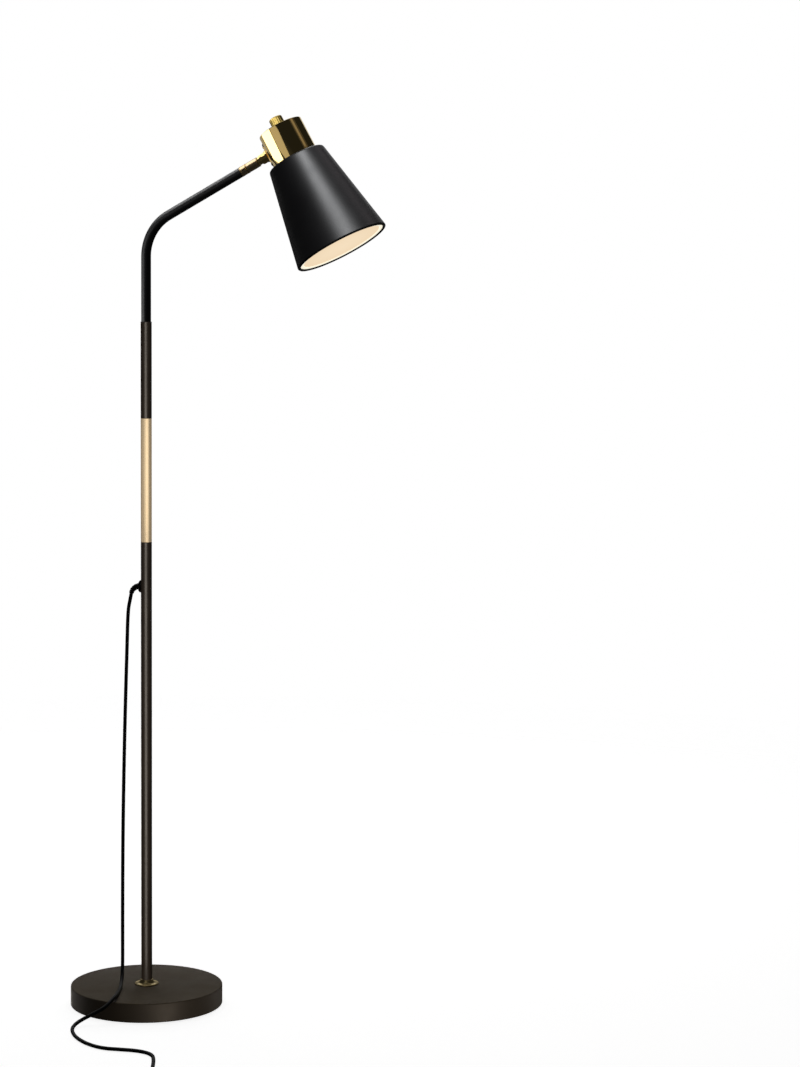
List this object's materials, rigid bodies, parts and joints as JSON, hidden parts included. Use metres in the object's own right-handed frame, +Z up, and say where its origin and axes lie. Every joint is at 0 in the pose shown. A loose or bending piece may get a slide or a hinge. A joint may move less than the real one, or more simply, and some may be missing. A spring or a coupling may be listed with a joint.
{
  "type": "adjustable arm floor lamp",
  "caption": "Floor lamp: round weighted base, slim pole with a brass section, swivelling bent arm, and a cone-shaded head that rolls and tilts, with a knurled dimmer knob.",
  "frame": {"origin": "centre of the base's underside, on the floor and on the pole's axis", "axes": "+Z up along the pole, +X the way the arm reaches at rest, -X the side the cord leaves"},
  "size_m": [0.5288, 0.5801, 1.4549],
  "materials": {
    "pad_rubber": "matte",
    "steel": "zinc plated",
    "iron": "as cast",
    "base_paint": "satin warm black",
    "pole_paint": "satin warm black",
    "arm_paint": "satin cool black",
    "shade_paint": "satin black",
    "white_paint": "white painted inside",
    "dull_brass": "dull",
    "satin_brass": "satin",
    "polished_brass": "polished",
    "knob_brass": "polished and knurled",
    "blade_brass": "bright",
    "nylon": "moulded",
    "wire_sleeve": "smooth",
    "cord_pvc": "smooth black",
    "tie_rubber": "matte",
    "screw_black": "blackened",
    "dimmer_case": "moulded",
    "sink_aluminium": "turned",
    "board": "white solder mask",
    "led": "phosphor yellow",
    "bezel_white": "cream white",
    "opal": "opal, lit warm white"
  },
  "bodies": {
    "base": {"floor_pad": "pad_rubber", "base_plate": "steel", "base_weight": "iron", "base_cover": "base_paint", "base_washer": "steel", "base_bolt": "steel", "foot_plug": "steel", "foot_flange": "dull_brass", "lower_tube": "pole_paint", "lower_coupler": "steel", "brass_tube": "satin_brass", "upper_coupler": "steel", "upper_tube": "pole_paint", "arm_bush": "nylon", "pole_wire": "wire_sleeve", "strain_relief": "cord_pvc", "cord_lead": "cord_pvc", "cord_coil": "cord_pvc", "cord_tie": "tie_rubber", "plug_body": "cord_pvc", "plug_blades": "blade_brass"},
    "arm": {"arm_tube": "arm_paint", "arm_stop_pin": "steel", "arm_wire": "wire_sleeve", "swivel_collar": "satin_brass", "collar_screw": "screw_black"},
    "stub": {"swivel_spindle": "steel", "stub_tube": "satin_brass", "knuckle_tongue": "polished_brass", "stub_wire": "wire_sleeve"},
    "head": {"knuckle_boss": "polished_brass", "bracket_plate": "polished_brass", "bracket_screws": "polished_brass", "pivot_screws": "polished_brass", "friction_washers": "nylon", "cup": "polished_brass", "dimmer": "dimmer_case", "dimmer_nut": "steel", "led_driver": "dimmer_case", "dimmer_leads": "wire_sleeve", "head_wire": "wire_sleeve", "shade": "shade_paint", "heat_sink": "sink_aluminium", "shade_screws": "steel", "led_board": "board", "led_leads": "wire_sleeve", "led_chips": "led", "reflector": "white_paint", "bezel_ring": "bezel_white", "diffuser": "opal"},
    "dimmer_knob": {"knob": "knob_brass", "dimmer_shaft": "steel"}
  },
  "joints": [
    {"name": "arm_swivel", "type": "hinge", "parent": "base", "child": "arm", "pos_m": [0, 0, 1.066], "axis": [0, 0, 1], "range_deg": [-140, 140]},
    {"name": "head_roll", "type": "hinge", "parent": "arm", "child": "stub", "pos_m": [0.1661, 0, 1.36568], "axis": [0.8788, 0, 0.4772], "range_deg": [-150, 150]},
    {"name": "head_tilt", "type": "hinge", "parent": "stub", "child": "head", "pos_m": [0.20301, 0, 1.38572], "axis": [0, 1, 0], "range_deg": [-60, 60]},
    {"name": "knob_turn", "type": "hinge", "parent": "head", "child": "dimmer_knob", "pos_m": [0.24565, 0, 1.40985], "axis": [-0.4924, 0, 0.8704], "range_deg": [0, 280]}
  ]
}
